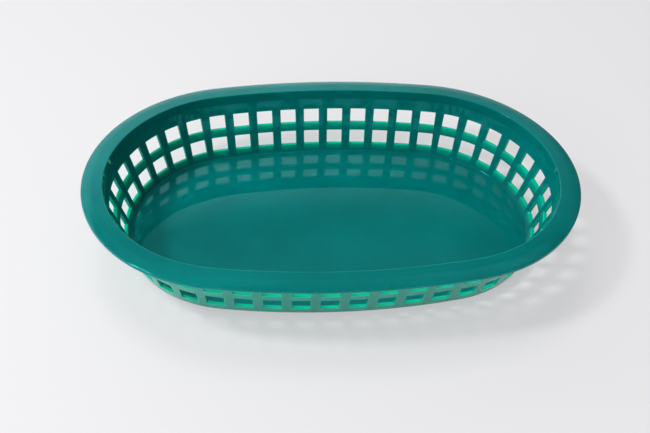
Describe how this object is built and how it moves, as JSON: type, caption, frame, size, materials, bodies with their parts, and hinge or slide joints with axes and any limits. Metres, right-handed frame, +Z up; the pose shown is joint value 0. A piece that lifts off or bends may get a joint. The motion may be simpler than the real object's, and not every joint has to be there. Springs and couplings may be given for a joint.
{
  "type": "oval basket",
  "caption": "Low oval serving basket moulded in one piece, with a wide smooth rim, a leaning wall with two rows of square windows and a slightly raised floor.",
  "frame": {"origin": "centre of the oval, on the plane that the basket's foot stands on", "axes": "+X along the length of the oval, +Y across it, +Z up out of the open top"},
  "size_m": [0.2666, 0.171, 0.0413],
  "materials": {
    "green_plastic": "glossy moulded polypropylene, slightly translucent at thin edges"
  },
  "bodies": {
    "root": {"basket": "green_plastic"}
  },
  "joints": []
}
